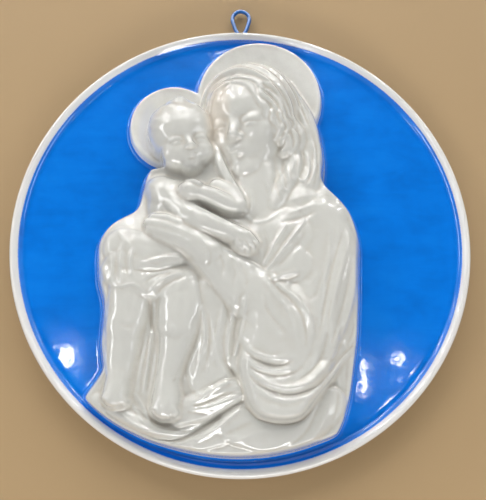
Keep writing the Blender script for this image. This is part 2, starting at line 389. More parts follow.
    ["groove","swag_r3",5,1.45,[[6.1,-89.6,-0.5,1.74],[13,-94.7,-1,2.09],[22.2,-97.6,-1.3,2.32],[32.7,-97,-1.5,2.32],[41.5,-92.5,-1.6,2.33],[49.4,-83.9,-1.5,2.35],[55.1,-74,-1.2,2.36],[57.3,-62.2,-0.8,2.38]]],
    ["groove","swag_v4",5,1.45,[[33.5,-93,0.5,1.52],[40.6,-87.8,1.4,1.76],[46.1,-80.3,1.6,1.89],[49.4,-70.9,1.6,1.9],[51,-60.2,1.1,1.91],[53.2,-47,0.6,1.81]]],
    ["groove","swag_hem",5,1.45,[[3.6,-104.4,-0.6,1.72],[8.2,-109.9,-1,1.71],[16.1,-112.7,-1.2,1.71],[25.2,-113.6,-1.2,1.71],[33.3,-111.7,-1,1.72],[38,-107.2,-0.8,1.72]]],
    ["groove","swag_soft",5,1.45,[[7.1,-101,0.5,2.3],[15.1,-105.5,0.9,2.29],[25.3,-107.8,0.9,2.29],[34.6,-105,0.6,2.3]]],
    ["groove","swag_left1",5,1.45,[[2.6,-78,0.6,1.05],[0.9,-85.6,0.9,1.17],[2.6,-94.1,0.9,1.16],[5.4,-102.6,0.7,1.15]]],
    ["groove","elbow_crease",5,1.45,[[17.2,-35.8,0.8,1.2],[22.6,-34.6,2,1.32],[28.1,-33.3,1.8,1.33],[34.2,-30.9,0.6,1.21]]],
    ["groove","elbow_lip",5,1.45,[[18.4,-32.7,-0.6,1.69],[24.5,-31.2,-1.2,1.81],[31.8,-29,-0.8,1.81]]],
    ["groove","sleeve_f1",5,1.45,[[14.8,-30.3,0.4,1.33],[20.7,-38.9,1.5,1.56],[28.4,-46.1,1.8,1.67],[34.2,-54,1.7,1.67],[36.9,-63.5,1.3,1.66],[37.2,-74.1,0.6,1.65]]],
    ["groove","sleeve_f2",5,1.45,[[17.3,-29,-0.3,1.33],[23.8,-37.6,-1.1,1.56],[32.6,-45.5,-1.5,1.68],[38.9,-54.6,-1.5,1.67],[41.6,-66.4,-1,1.77]]],
    ["groove","sleeve_f3",5,1.45,[[13.6,-32.8,-0.4,1.45],[18.9,-42.5,-1.1,1.68],[25.9,-50.4,-1.2,1.79],[29.9,-59.3,-0.9,1.78],[32.1,-68.8,-0.5,1.77]]],
    ["groove","sleeve_f4",5,1.45,[[35.2,-41.1,0.2,1.44],[40.5,-45.3,0.5,1.68],[45.5,-39.8,0.5,1.69],[48.8,-30,0.2,1.58]]],
    ["groove","sleeve_f5",5,1.45,[[37.1,-36.8,-0.2,1.69],[42,-35.6,-0.35,1.93],[45.8,-30,-0.3,1.94]]],
    ["groove","swag_under",5,1.45,[[2.6,-104.8,0.8,1.16],[5.5,-110.4,2.2,1.39],[10.1,-114.6,3,1.5],[16.4,-116.3,3.2,1.5],[25.6,-117.5,3.2,1.5],[33.7,-115.5,3,1.5],[39.1,-110.5,2,1.39],[42.7,-105.4,0.8,1.28]]],
    ["groove","leg_side",5,1.45,[[-26.5,-65,0.9,1.02],[-30.5,-73.9,2.2,1.25],[-35.6,-84.5,2.4,1.24],[-40.1,-93.7,1.4,1.11]]],
    ["groove","sleeve_f6",5,1.45,[[12.3,-42.7,0.3,1.55],[14.5,-52.4,0.9,1.78],[19.8,-59.5,0.9,1.77],[25,-65.4,0.4,1.77]]],
    ["groove","border_1",5,1.45,[[27.1,1.2,-0.8,1.11],[22,-7.2,-1.5,1.23],[16.9,-16.1,-1.3,1.22],[12.6,-24.9,-0.5,1.22]]],
    ["groove","border_2",5,1.45,[[38.9,3.8,-0.8,1.24],[31.2,-6.5,-1.7,1.36],[23,-17.3,-1.6,1.35],[15,-27.4,-0.7,1.21]]],
    ["groove","border_3",5,1.45,[[33.2,0.6,0.5,1.36],[26.2,-9.7,1.1,1.48],[19.4,-19.2,1,1.34],[13.8,-26.1,0.5,1.22]]],
    ["groove","border_4",5,1.45,[[38.7,-4.5,0.4,1.85],[31.1,-14.8,0.9,1.96],[22.9,-24.2,0.9,1.83]]],
    ["groove","shoulder_c",5,1.45,[[24.9,2.4,0.8,1.25],[30.6,4.1,1.7,1.38],[37.5,6.4,1.3,1.38],[45.2,9.7,0.5,1.26]]],
    ["groove","shoulder_r",5,1.45,[[27,8.6,-0.5,2.01],[35.2,11.3,-0.9,2.15],[44.8,14.7,-0.7,2.15],[53.7,15.4,-0.3,2.03]]],
    ["groove","shoulder_r2",5,1.45,[[31.1,18.3,-0.4,1.91],[40.7,21,-0.7,2.04],[50.3,23.7,-0.5,1.92]]],
    ["groove","mantle_1",5,1.45,[[63.3,-1.3,0.3,1.5],[58.4,-14.1,1.1,1.73],[53.6,-29.3,1.5,1.84],[50,-44.2,1.5,1.82],[47.1,-57.5,1.3,1.8],[44.3,-70.7,0.6,1.79]]],
    ["groove","mantle_2",5,1.45,[[55.2,2.3,-0.4,1.87],[54,-12.5,-0.9,1.98],[51,-27,-0.9,1.96],[47,-39.4,-0.6,1.82]]],
    ["groove","mantle_3",5,1.45,[[66.5,-8.5,-0.4,1.75],[61.5,-22.5,-1.1,1.86],[56.6,-38.8,-1.4,1.96],[53,-53.6,-1.2,1.94],[50.2,-65.7,-0.6,1.8]]],
    ["groove","mantle_4",5,1.45,[[69,-15.6,0.3,1.5],[65.9,-30.3,1,1.61],[61.5,-45.9,1.5,1.71],[57.3,-59.4,1.5,1.7],[52.7,-71.4,1,1.69]]],
    ["groove","mantle_5",5,1.45,[[70.1,-26.7,-0.4,1.5],[67.6,-42.4,-1,1.6],[63.2,-57.9,-1.2,1.71],[58.5,-70,-0.8,1.7]]],
    ["groove","mantle_6",5,1.45,[[70.1,-45.3,0.4,1.24],[67.5,-60.8,1,1.47],[62.8,-72.9,1.2,1.46]]],
    ["groove","wrist_0",5,1.45,[[-21.4,-15.3,0.3,1.09],[-18.9,-20.9,0.7,1.2],[-20.7,-27.1,0.4,1.08]]],
    ["groove","wrist_1",5,1.45,[[-15.3,-17.2,0.3,1.09],[-11.7,-24.6,0.8,1.2],[-12.2,-32,0.4,1.08]]],
    ["groove","wrist_2",5,1.45,[[-7.5,-22.2,0.3,1.08],[-4.5,-30.2,0.7,1.32],[-5.7,-37.5,0.4,1.19]]],
    ["groove","wrist_3",5,1.45,[[-0.9,-24.6,0.3,1.2],[2.7,-34.4,0.6,1.44],[0.9,-43.5,0.4,1.19]]],
    ["groove","cuff",5,1.45,[[-24.4,-10,-0.5,1.09],[-21.3,-16.9,-0.9,1.08],[-22.4,-24.9,-0.6,1.08]]],
    ["groove","neckline",5,1.45,[[2.4,7.9,-0.4,0.99],[7.9,3.4,-0.9,1.12],[15.4,4.1,-0.9,1.12],[22.9,10,-0.7,1.12],[26.8,17.2,-0.4,1.13]]],
    ["groove","neck_r",5,1.45,[[21,32.3,0.8,1.66],[21.5,22.9,1.3,1.77],[22.6,14.2,0.8,1.64]]],
    ["groove","breast_f1",5,1.45,[[6.6,-4.7,-0.3,1.23],[10.2,-12.9,-0.8,1.35],[12.6,-21.1,-0.6,1.22]]],
    ["groove","breast_f2",5,1.45,[[12.8,-0.8,0.3,1.24],[15.2,-9.7,0.7,1.35],[15.1,-18.6,0.4,1.22]]],
    ["groove","dress_1",5,1.45,[[2.3,-41.6,-0.4,1.21],[1,-53.8,-1.6,1.44],[-1.4,-65.8,-1.7,1.43],[-3.8,-77.6,-1,1.3]]],
    ["groove","dress_1v",5,1.45,[[-0.8,-41.6,0.4,1.09],[-2.6,-53.8,1.4,1.2],[-4.4,-65.8,1.6,1.19],[-6.1,-77.6,1.4,1.18]]],
    ["groove","dress_2",5,1.45,[[-3.8,-44.1,-0.4,1.21],[-6.2,-56.2,-1.5,1.32],[-7.9,-68.2,-1.5,1.31],[-8.5,-78.8,-0.9,1.18]]],
    ["groove","dress_2v",5,1.45,[[-7.4,-46.5,0.4,1.09],[-9.8,-58.6,1.2,1.2],[-11.5,-70.6,1.3,1.19],[-10.3,-81.2,1.2,1.18]]],
    ["groove","dress_3",5,1.45,[[-11.6,-48.8,-0.4,1.33],[-14,-60.9,-1.2,1.56],[-15.6,-72.8,-1.2,1.54],[-14.4,-83.4,-0.8,1.53]]],
    ["groove","dress_deep",5,1.45,[[-12.1,-77.4,1,1.79],[-9.1,-84.4,3.2,2.25],[-5.5,-89.1,4,2.13],[-2,-93.2,2,1.77]]],
    ["groove","knee_1",5,1.45,[[-25.5,-46.4,-0.6,1.33],[-23,-58.5,-1.6,1.44],[-22.8,-70.5,-1.6,1.43],[-25,-81.1,-1.2,1.42],[-27.2,-91.5,-0.6,1.41]]],
    ["groove","knee_1v",5,1.45,[[-20.6,-53.7,0.5,1.2],[-19.3,-65.7,1.2,1.31],[-20.3,-77.5,1.1,1.3],[-22.6,-88.1,0.5,1.18]]],
    ["groove","knee_2",5,1.45,[[-18.2,-59.7,-0.4,1.2],[-16.9,-70.5,-1.1,1.31],[-17.4,-80.5,-0.7,1.3]]],
    ["groove","knee_0v",5,1.45,[[-27.8,-57.1,0.5,1.2],[-27.6,-70.3,1.3,1.43],[-32.1,-82.1,1.4,1.42],[-37.2,-92.6,0.9,1.29]]],
    ["groove","between_1",5,1.45,[[-57.2,-64.1,-0.6,1.02],[-59.2,-76.1,-2,1.19],[-61.1,-87.8,-2,1.18],[-62.5,-98.2,-0.8,1.05]]],
    ["groove","between_2",5,1.45,[[-54.2,-64.1,-0.6,1.02],[-55.6,-77.2,-2.2,1.19],[-56.9,-89,-2,1.18],[-58.3,-99.4,-0.8,1.05]]],
    ["groove","between_3",5,1.45,[[-51.5,-73.1,-0.5,0.95],[-52.4,-83.1,-1.6,1.07],[-53.2,-93.6,-1.2,1.06],[-54.7,-102.8,-0.5,0.93]]],
    ["groove","gap_legs",5,1.45,[[-56.1,-46.6,3,1.56],[-55.6,-52,5,1.67],[-55.1,-58.7,4,1.67],[-53.8,-63.5,1.5,1.54]]],
    ["groove","lap_1",5,1.45,[[-0.8,-92.6,-0.5,1.41],[-9,-94.4,-1.8,1.53],[-17.2,-98.4,-2,1.64],[-24.2,-103.5,-1.6,1.63],[-29.9,-105.8,-0.6,1.4]]],
    ["groove","lap_1v",5,1.45,[[-0.8,-99,0.4,1.29],[-10.2,-101.3,1.3,1.4],[-19.5,-105.2,1.4,1.4],[-27.6,-108,0.8,1.28]]],
    ["groove","lap_2",5,1.45,[[-2,-101.8,-0.3,1.4],[-11.3,-105.8,-1.1,1.63],[-20.6,-108.6,-1,1.51],[-28.7,-109.2,-0.5,1.28]]],
    ["groove","lap_2v",5,1.45,[[-20,-112.6,0.6,1.16],[-25.8,-112,1.1,1.28],[-31.6,-111.4,0.8,1.16]]],
    ["groove","lap_3",5,1.45,[[-20.6,-114.8,-0.4,1.28],[-28.7,-115.9,-1.1,1.39],[-37.4,-117.6,-0.9,1.39]]],
    ["groove","hem_v",5,1.45,[[-80.1,-111.3,1.4,1.39],[-71.7,-116.9,2.6,1.51],[-61.1,-122.3,3,1.62],[-48.8,-126.2,3.6,1.73],[-36.7,-126.8,3.8,1.85],[-25.8,-122.1,4,1.86],[-16.5,-116,3.8,1.87],[-7.8,-109.7,3.2,1.76],[-0.2,-104.6,2,1.77]]],
    ["groove","hem_r",5,1.45,[[-29.6,-129.3,-0.8,1.84],[-21,-124.3,-1.8,1.96],[-11.3,-117.7,-1.9,1.97],[-2,-109.8,-1.2,1.87]]],
    ["groove","hem_u",5,1.45,[[-75.5,-109.6,-0.5,1.63],[-65.9,-116.4,-1.2,1.74],[-54.2,-121.5,-1.4,1.85],[-40.2,-122.6,-1.4,1.85],[-28.7,-118.7,-1,1.74]]],
    ["groove","hem_soft1",5,1.45,[[-20.4,-128.8,0.4,2.31],[-8.9,-123.3,1,2.55],[3.9,-117.7,0.8,2.56]]],
    ["groove","hem_soft2",5,1.45,[[-8.9,-131,-0.4,2.54],[1.5,-125.5,-1,2.66],[12,-121.1,-0.6,2.56]]],
    ["groove","hem_soft3",5,1.45,[[18.9,-133.4,0.5,2.08],[28.2,-129.5,1.6,2.32],[36.5,-122.9,1.6,2.34],[42,-113.8,1.2,2.23],[46.5,-104.1,0.6,2.01]]],
    ["groove","hem_soft4",5,1.45,[[34,-131.2,-0.6,1.74],[41.1,-125.7,-1.3,1.87],[47.2,-116.7,-1.2,1.88],[51.1,-106.4,-0.6,1.77]]],
    ["groove","hem_soft5",5,1.45,[[44.8,-128,0.4,1.76],[52.1,-119,0.9,1.89],[55.5,-107.6,0.9,1.9],[57.1,-97.1,0.5,1.79]]],
    ["groove","edge_r1",5,1.45,[[57,-88.8,-0.4,1.33],[57.8,-98.2,-0.9,1.32],[58.7,-107.5,-0.7,1.31]]],
    ["groove","edge_r2",5,1.45,[[64.3,-78,0.4,1.34],[62.7,-87.6,0.9,1.45],[62.2,-99.4,0.6,1.44]]],
    ["groove","foot_r_under",5,1.45,[[-55.5,-112.5,1.6,1.28],[-51.9,-116.4,4,1.51],[-46.6,-118.4,4.2,1.5],[-40.9,-117.3,3.4,1.39],[-36.3,-113.7,1.2,1.28]]],
    ["groove","foot_l_under",5,1.45,[[-83.6,-104.4,1.2,1.17],[-80.5,-107.6,3.2,1.28],[-75.7,-109,3.2,1.28],[-71.1,-108.2,2.4,1.28],[-68.3,-105,0.8,1.17]]],
    ["groove","step_0",5,1.45,[[-67.8,-102.7,-0.5,1.06],[-62.9,-109.6,-1.2,1.28],[-57.9,-116.4,-0.7,1.16]]],
    ["groove","step_1",5,1.45,[[-63.8,-100.4,-0.5,1.06],[-58.2,-108.5,-1.2,1.17],[-53.9,-116.4,-0.7,1.16]]],
    ["groove","hip_0",5,1.45,[[-81.9,-12.8,-0.3,1.1],[-79.6,-22.9,-1.1,1.34],[-79.1,-34.1,-0.5,1.21]]],
    ["groove","hip_1",5,1.45,[[-73.4,-10.9,-0.4,1.1],[-74.1,-22.9,-1.2,1.34],[-73,-34.7,-0.5,1.21]]],
    ["groove","hip_2",5,1.45,[[-66.5,-14,-0.5,1.1],[-68,-22.9,-1.2,1.22],[-65.8,-31.6,-0.5,1.09]]],
    ["groove","hipv_0",5,1.45,[[-77,-14.1,0.3,0.98],[-76.5,-24.2,0.9,1.1],[-76,-34.1,0.5,0.97]]],
    ["groove","hipv_1",5,1.45,[[-70.2,-15.3,0.3,0.98],[-70.4,-24.1,0.9,1.1],[-69.4,-32.9,0.5,0.97]]],
    ["groove","hip_crease",5,1.45,[[-63.3,-27.7,0.8,0.97],[-57.8,-28.3,2.2,1.33],[-49.4,-28,2.6,1.33],[-40.9,-26.4,2.4,1.34],[-33.7,-23.9,1.6,1.34]]],
    ["groove","hip_puff",5,1.45,[[-60.3,-23.6,-0.6,1.69],[-51.9,-21.7,-1.5,1.94],[-43.4,-20.4,-1.4,1.82],[-36.7,-20.4,-0.6,1.58]]],
    ["groove","hip_fold",5,1.45,[[-56.6,-42.7,-0.6,1.32],[-52,-37.2,-1.6,1.44],[-45.5,-32.8,-1.8,1.45],[-37.1,-29.7,-1,1.33]]],
    ["groove","hip_fold_v",5,1.45,[[-59.4,-36.4,0.4,1.2],[-53.5,-32,1.2,1.33],[-44.5,-29.2,1.4,1.21]]],
    ["groove","hip_fold_v2",5,1.45,[[-53.6,-44.5,0.5,1.08],[-48.9,-39.6,1.4,1.2],[-42.4,-35.3,1.4,1.2],[-34.7,-32.2,0.6,1.21]]],
    ["groove","hem_leg_l",5,1.45,[[-83,-36.8,-0.5,0.96],[-74.5,-38,-0.9,0.96],[-66.1,-36.8,-0.9,0.96],[-59.9,-40.5,-0.8,0.96],[-56.7,-46,-0.5,0.96]]],
    ["groove","hip_crumple",5,1.45,[[-77.9,-0.7,-0.3,1.12],[-72.7,-7.1,-0.9,1.36],[-68.7,-12.2,-0.5,1.23]]],
    ["groove","knee_l",5,1.45,[[-73.3,-60,0.3,1.89],[-67.9,-61.8,0.8,2.13],[-62.1,-59.4,0.5,1.9]]],
    ["groove","knee_r",5,1.45,[[-45.6,-67.4,0.3,1.88],[-39.7,-69.2,0.8,2.12],[-33.9,-66.2,0.5,1.89]]],
    ["clip","edge",22,8.5,1.9,1.5,3,[[-58.3,43.9],[-61.8,40.4],[-64.1,34.1],[-65.4,27.2],[-66.5,21.6],[-67.9,16.9],[-70.9,13.7],[-78.1,10],[-84.7,5.2],[-88.9,-0.3],[-91.9,-7.7],[-92.2,-17],[-91,-30.1],[-89.3,-36.9],[-87.5,-43.3],[-86.7,-50.6],[-87.2,-62],[-87.3,-71.3],[-86,-80.5],[-85.7,-86.3],[-89.7,-93.3],[-93.9,-99.5],[-94.9,-103.8],[-88.1,-110.2],[-78.9,-116.9],[-66.6,-123.6],[-54.6,-128.7],[-39.6,-133.1],[-24.6,-136.2],[-6.5,-138],[11.5,-137.5],[23.3,-135.8],[35.4,-133.1],[46.9,-129.3],[55.8,-125.8],[58.7,-122.7],[62.1,-115.6],[64.7,-107.9],[67.1,-97.7],[68.8,-88],[70.4,-78.8],[72.5,-66.9],[73.6,-54.3],[74.7,-39.5],[75.5,-23.1],[76.3,-9.8],[75.9,-2.4],[74,6],[71.1,13.7],[66.7,20.6],[61.2,26.6],[56.2,31.8],[53.8,38.4],[53.7,47],[53.7,54.9],[52.8,63.7],[51.2,71.4],[49.3,78.8],[41,88],[27.3,93.9],[6.7,96.8],[-12.6,93.6],[-20.7,81.5],[-24.6,66.8],[-28.5,55.9],[-39.1,47.9]]],
    ["disc","halo_mother",12.3,97.1,42.9,20,1,2.4,1],
    ["disc","halo_child",-45.7,75.5,30,20,1,2.4,1],
    ["groove","bead_m_fine",3,1,[[52.4,97.1,-0.32,0.75],[51.5,105.4,-0.32,0.75],[48.9,113.4,-0.32,0.75],[44.7,120.7,-0.32,0.75],[39.1,126.9,-0.32,0.75],[32.4,131.8,-0.32,0.75],[24.7,135.2,-0.32,0.75],[16.5,137,-0.32,0.75],[8.1,137,-0.32,0.75],[-0.1,135.2,-0.32,0.75],[-7.7,131.8,-0.32,0.75],[-14.5,126.9,-0.32,0.75],[-20.1,120.7,-0.32,0.75],[-24.3,113.4,-0.32,0.75],[-26.9,105.4,-0.32,0.75],[-27.8,97.1,-0.32,0.75],[-26.9,88.8,-0.32,0.75],[-24.3,80.8,-0.32,0.75],[-20.1,73.5,-0.32,0.75],[-14.5,67.3,-0.32,0.75],[-7.8,62.4,-0.32,0.75],[-0.1,59,-0.32,0.75],[8.1,57.2,-0.32,0.75],[16.5,57.2,-0.32,0.75],[24.7,59,-0.32,0.75],[32.4,62.4,-0.32,0.75],[39.1,67.3,-0.32,0.75],[44.7,73.5,-0.32,0.75],[48.9,80.8,-0.32,0.75],[51.5,88.8,-0.32,0.75],[52.4,97.1,-0.32,0.75]]],
    ["groove","bead_c_fine",3,1,[[-18.5,75.5,-0.32,0.75],[-19.1,81.2,-0.32,0.75],[-20.9,86.6,-0.32,0.75],[-23.7,91.5,-0.32,0.75],[-27.5,95.7,-0.32,0.75],[-32.1,99.1,-0.32,0.75],[-37.3,101.4,-0.32,0.75],[-42.9,102.6,-0.32,0.75],[-48.5,102.6,-0.32,0.75],[-54.1,101.4,-0.32,0.75],[-59.3,99.1,-0.32,0.75],[-63.9,95.7,-0.32,0.75],[-67.7,91.5,-0.32,0.75],[-70.5,86.6,-0.32,0.75],[-72.3,81.2,-0.32,0.75],[-72.9,75.5,-0.32,0.75],[-72.3,69.8,-0.32,0.75],[-70.5,64.4,-0.32,0.75],[-67.7,59.5,-0.32,0.75],[-63.9,55.3,-0.32,0.75],[-59.3,51.9,-0.32,0.75],[-54.1,49.6,-0.32,0.75],[-48.5,48.4,-0.32,0.75],[-42.9,48.4,-0.32,0.75],[-37.3,49.6,-0.32,0.75],[-32.1,51.9,-0.32,0.75],[-27.5,55.3,-0.32,0.75],[-23.7,59.5,-0.32,0.75],[-20.9,64.4,-0.32,0.75],[-19.1,69.8,-0.32,0.75],[-18.5,75.5,-0.32,0.75]]],
    ["head","head_mother","adult",6,74.1,24.5,37.5,0.68,27,8,5,0.6],
    ["head","head_child","child",-38.8,61.4,29,25.6,0.74,-13,6,12,0.6],
    ["limb","veil_side",5,0.6,4,[[32,102.5,27,2],[38.8,87.9,30,4],[43.6,74.5,31,5.3],[45.8,60.1,31.5,5.9],[46,47.4,32,6.5],[42.3,33.3,33,7.7],[37.5,20.9,33.5,7.6]]],
    ["limb","veil_fall",4,0.7,5,[[32.1,60,31,2.6],[34.8,47.8,34,4.5],[31.2,36.2,35.5,5.1],[25.9,26.6,36,5.1],[20.6,15,36.5,3.8]]],
    ["limb","veil_left",2.5,0.8,5,[[-18.9,66.2,29,2],[-14.1,44.4,34.5,2.9],[-8.3,31.6,36,2.8],[-2,20.7,36.8,2.8],[1.8,11.3,37,1.9]]],
    ["limb","hair_loop",2,0.8,5,[[32.9,74.8,33,2.6],[37.2,67.3,34,3.3],[38.3,59.1,33.5,3.2],[34.9,52,33.5,2.6]]],
    ["limb","curl_1_fine",1.6,0.8,5,[[24.5,66.3,37,1.9],[28.9,61.8,38,2.6],[30.2,56,37,2.6],[26.9,51.5,36,1.9]]],
    ["limb","curl_2_fine",1.4,0.8,5,[[30.5,67.6,36,1.9],[34.2,62.5,36.5,2.3],[34.1,55.7,36,2.2],[30.9,51.2,35,1.7]]],
    ["groove","loop_0_fine",5,1.45,[[40,54.3,-0.5,1.1],[43,44.7,-1.44,1.09],[42.8,37.2,-1.44,1.09],[39.5,31.7,-1.44,1.08],[36.3,33,-1.44,1.08],[35.1,37.8,-0.5,1.09]]],
    ["groove","loop_1_fine",5,1.45,[[45.3,58.6,-0.45,1.04],[47.6,47.5,-1.28,1.03],[46,36.5,-1.28,1.02],[42.5,28.3,-0.45,1.02]]],
    ["groove","loop_2_fine",5,1.45,[[28.3,48,-0.45,1.03],[28.8,39.1,-1.28,1.02],[29.9,32.3,-1.28,1.02],[33,28.3,-0.45,1.02]]],
    ["groove","loop_3_fine",5,1.45,[[24.3,42.5,-0.5,1.09],[24.8,32.3,-1.44,1.08],[26,25.6,-1.44,1.08],[30.4,23.6,-0.5,1.08]]],
    ["groove","loop_4_fine",5,1.45,[[36.1,51.5,-0.39,0.97],[37.2,44.6,-1.12,0.96],[35.8,39.2,-0.39,0.96]]],
    ["groove","loop_5_fine",5,1.45,[[32.2,52.9,-0.39,0.97],[33.4,44.6,-1.12,0.96],[31.9,37.8,-0.39,0.96]]],
    ["groove","loop_6_fine",5,1.45,[[49.6,51.6,-0.45,1.03],[49.9,39.2,-1.28,1.03],[47,28.4,-0.45,1.02]]],
    ["groove","loop_7_fine",5,1.45,[[37.4,54.3,0.45,1.03],[39.8,46,1.28,1.03],[39.6,37.8,0.45,1.02]]],
    ["groove","loop_8_fine",5,1.45,[[26.3,45.9,0.45,1.03],[26.8,36.4,1.28,1.02],[27.9,28.3,0.45,1.02]]],
    ["groove","loop_9_fine",5,1.45,[[45.8,53,0.39,0.97],[44.8,41.9,1.12,0.96],[42,31,0.39,0.96]]],
    ["groove","loop_10_fine",5,1.45,[[21,33.6,0.39,1.02],[22.1,24.2,1.12,1.01],[24.6,17.6,0.39,1.01]]],
    ["groove","veil_0_fine",5,1.45,[[30.3,104.6,-0.42,1.07],[36.7,92.8,-1.2,1.07],[41.7,81.3,-1.2,1.06],[46,69.8,-0.42,1.05]]],
    ["groove","veil_1_fine",5,1.45,[[26.9,105.3,-0.37,1],[33.4,93.5,-1.05,1],[38.4,81.2,-1.05,0.99],[41.5,71.2,-0.37,0.99]]],
    ["groove","veil_2_fine",5,1.45,[[28.9,103.8,0.42,0.94],[35.3,92.1,1.2,0.93],[40.4,80.5,1.2,0.93],[44,69.8,0.42,0.92]]],
    ["groove","veil_3_fine",5,1.45,[[32.6,88.4,0.31,0.86],[36.4,79.8,0.9,0.86],[38.8,69.8,0.31,0.85]]],
    ["groove","veil_4_fine",5,1.45,[[47.3,68.4,-0.37,1.12],[50.3,58.5,-1.05,1.11],[51.9,47.4,-0.37,1.1]]],
    ["groove","veil_5_fine",5,1.45,[[44.6,67,0.37,0.98],[47.6,57.1,1.05,0.98],[49.2,46,0.37,0.97]]],
    ["groove","neckcloth_0_fine",5,1.45,[[-15.4,57.2,-0.39,0.96],[-12.8,46.2,-1.12,0.96],[-7.6,35.4,-1.12,0.95],[-2.6,26,-0.39,0.94]]],
    ["groove","neckcloth_1_fine",5,1.45,[[-12.2,53.1,-0.34,0.9],[-8.3,43.5,-0.98,0.89],[-3.8,34.7,-0.34,0.89]]],
    ["groove","neckcloth_2_fine",5,1.45,[[-14.1,53.1,0.39,0.9],[-9.6,42.2,1.12,0.89],[-5.1,32.7,0.39,0.89]]],
    ["groove","neckcloth_3_fine",5,1.45,[[-7,31.4,-0.29,0.88],[-1.3,23.4,-0.84,0.88],[2.4,14.1,-0.29,0.88]]],
    ["groove","neckcloth_4_fine",5,1.45,[[13.2,32.8,-0.29,0.82],[17,24.8,-0.84,0.82],[18.1,16.8,-0.29,0.82]]],
    ["groove","neckcloth_5_fine",5,1.45,[[5.6,23.4,-0.29,0.88],[6.8,16.8,-0.84,0.88],[5.5,10.2,-0.29,0.87]]],
    ["groove","lock_0_fine",5,1.45,[[11,97.3,-0.42,0.91],[17.5,94.5,-1.19,0.91],[23.3,89.5,-1.19,0.91],[27.7,83.2,-1.19,0.91],[30.8,75.4,-0.42,0.9]]],
    ["groove","lock_1_fine",5,1.45,[[10.4,95.2,0.36,0.78],[16.8,92.3,1.02,0.78],[22.6,87.4,1.02,0.78],[27,80.3,1.02,0.77],[30.1,72.6,0.36,0.77]]],
    ["groove","lock_2_fine",5,1.45,[[9.7,93,-0.42,0.91],[16.2,90.2,-1.19,0.91],[21.9,84.5,-1.19,0.91],[26.3,77.5,-1.19,0.9],[28.8,70.5,-0.42,0.9]]],
    ["groove","lock_3_fine",5,1.45,[[11.6,90.2,0.36,0.78],[16.8,87.3,1.02,0.78],[21.9,81.7,1.02,0.77],[25.6,74.7,1.02,0.77],[27.4,67.7,0.36,0.77]]],
    ["groove","lock_4_fine",5,1.45,[[12.2,88,-0.42,0.91],[17.4,84.5,-1.19,0.9],[22.5,78.2,-1.19,0.9],[25.6,71.2,-1.19,0.9],[26.7,64.2,-0.42,0.89]]],
    ["groove","lock_5_fine",5,1.45,[[13.5,84.5,0.36,0.78],[18,80.3,1.02,0.77],[21.8,74.7,1.02,0.77],[24.2,68.4,0.36,0.77]]],
    ["groove","lock_6_fine",5,1.45,[[14.1,81.6,-0.36,0.84],[17.9,76.7,-1.02,0.84],[21.1,71.2,-1.02,0.83],[22.3,64.9,-0.36,0.83]]],
    ["groove","lock_7_fine",5,1.45,[[16.3,98.8,-0.36,0.91],[23.4,94.6,-1.02,0.91],[29.1,87.5,-1.02,0.91],[32.8,79,-1.02,0.9],[34.5,71.3,-0.36,0.9]]],
    ["groove","lock_8_fine",5,1.45,[[14.9,97.4,0.36,0.78],[22,93.1,1.02,0.78],[27.8,86,1.02,0.78],[31.5,78.3,1.02,0.77],[33.9,69.2,0.36,0.77]]],
    ["groove","lock_9_fine",5,1.45,[[-17.5,91.3,-0.3,0.78],[-20,84.9,-0.85,0.77],[-20.6,77.1,-0.3,0.77]]],
    ["groove","lock_10_fine",5,1.45,[[-15.6,92.8,0.3,0.71],[-18.8,86.3,0.85,0.71],[-19.3,78.5,0.3,0.71]]],
    ["groove","lock_11_fine",5,1.45,[[-13.6,94.2,-0.3,0.78],[-17.5,87.7,-0.85,0.77],[-18.7,79.9,-0.3,0.77]]],
    ["groove","lock_12_fine",5,1.45,[[-9.8,96.4,-0.3,0.78],[-14.9,90.6,-0.85,0.78],[-16.8,82.8,-0.3,0.77]]],
    ["groove","lock_13_fine",5,1.45,[[-7.8,94.3,0.3,0.71],[-13,89.9,0.85,0.71],[-15.5,83.5,0.3,0.71]]],
    ["groove","lock_14_fine",5,1.45,[[27.3,63.6,-0.36,0.77],[31.1,58.1,-1.02,0.76],[30.9,51.9,-0.36,0.76]]],
    ["groove","lock_15_fine",5,1.45,[[29.3,65,0.3,0.7],[33,58.8,0.85,0.7],[32.9,52.6,0.3,0.7]]],
]

def blur(a, sigma, step):
    r = max(1, int(3 * sigma / step + 0.5)); x = np.arange(-r, r + 1) * step
    k = np.exp(-0.5 * (x / sigma) ** 2); k /= k.sum()
    p = np.pad(a, r, mode="edge")
    b = sum(w * p[:, i:i + a.shape[1]] for i, w in enumerate(k))
    return sum(w * b[i:i + a.shape[0], :] for i, w in enumerate(k))

def run(rel):
    for op in OPS:
        t = op[0]
        if t == "limb": rel.limb(op[5], op[2], op[3], op[4])
        elif t == "blob": rel.blob(op[2], op[3], op[4], op[5], op[6], op[7], op[8], op[9], op[10])
        elif t == "groove": rel.groove(op[4], op[2], op[3])
        elif t == "sheet": rel.sheet(op[7 + 1], op[9], op[2], op[3], op[4], op[5], op[6], op[7])
        elif t == "clip": rel.clip(op[2], op[3], op[4], op[5], op[6], op[7])
        elif t == "disc":
            _, _, cu, cv, R, top, dish, edge, k = op
            r = np.hypot(rel.U - cu, rel.V - cv)
            h = top - dish * (1 - (r / R) ** 2) - 6 * np.clip((r - R + edge) / edge, 0, 1) ** 4
            h = np.where(r < R, h, GROUND - (r - R) * DRAFT)
            rel.H = smax(rel.H, h, k)
        elif t == "head": head_height(rel, op[2], op[3], op[4], op[5], op[6], op[7], op[8], op[9], op[10], op[11])

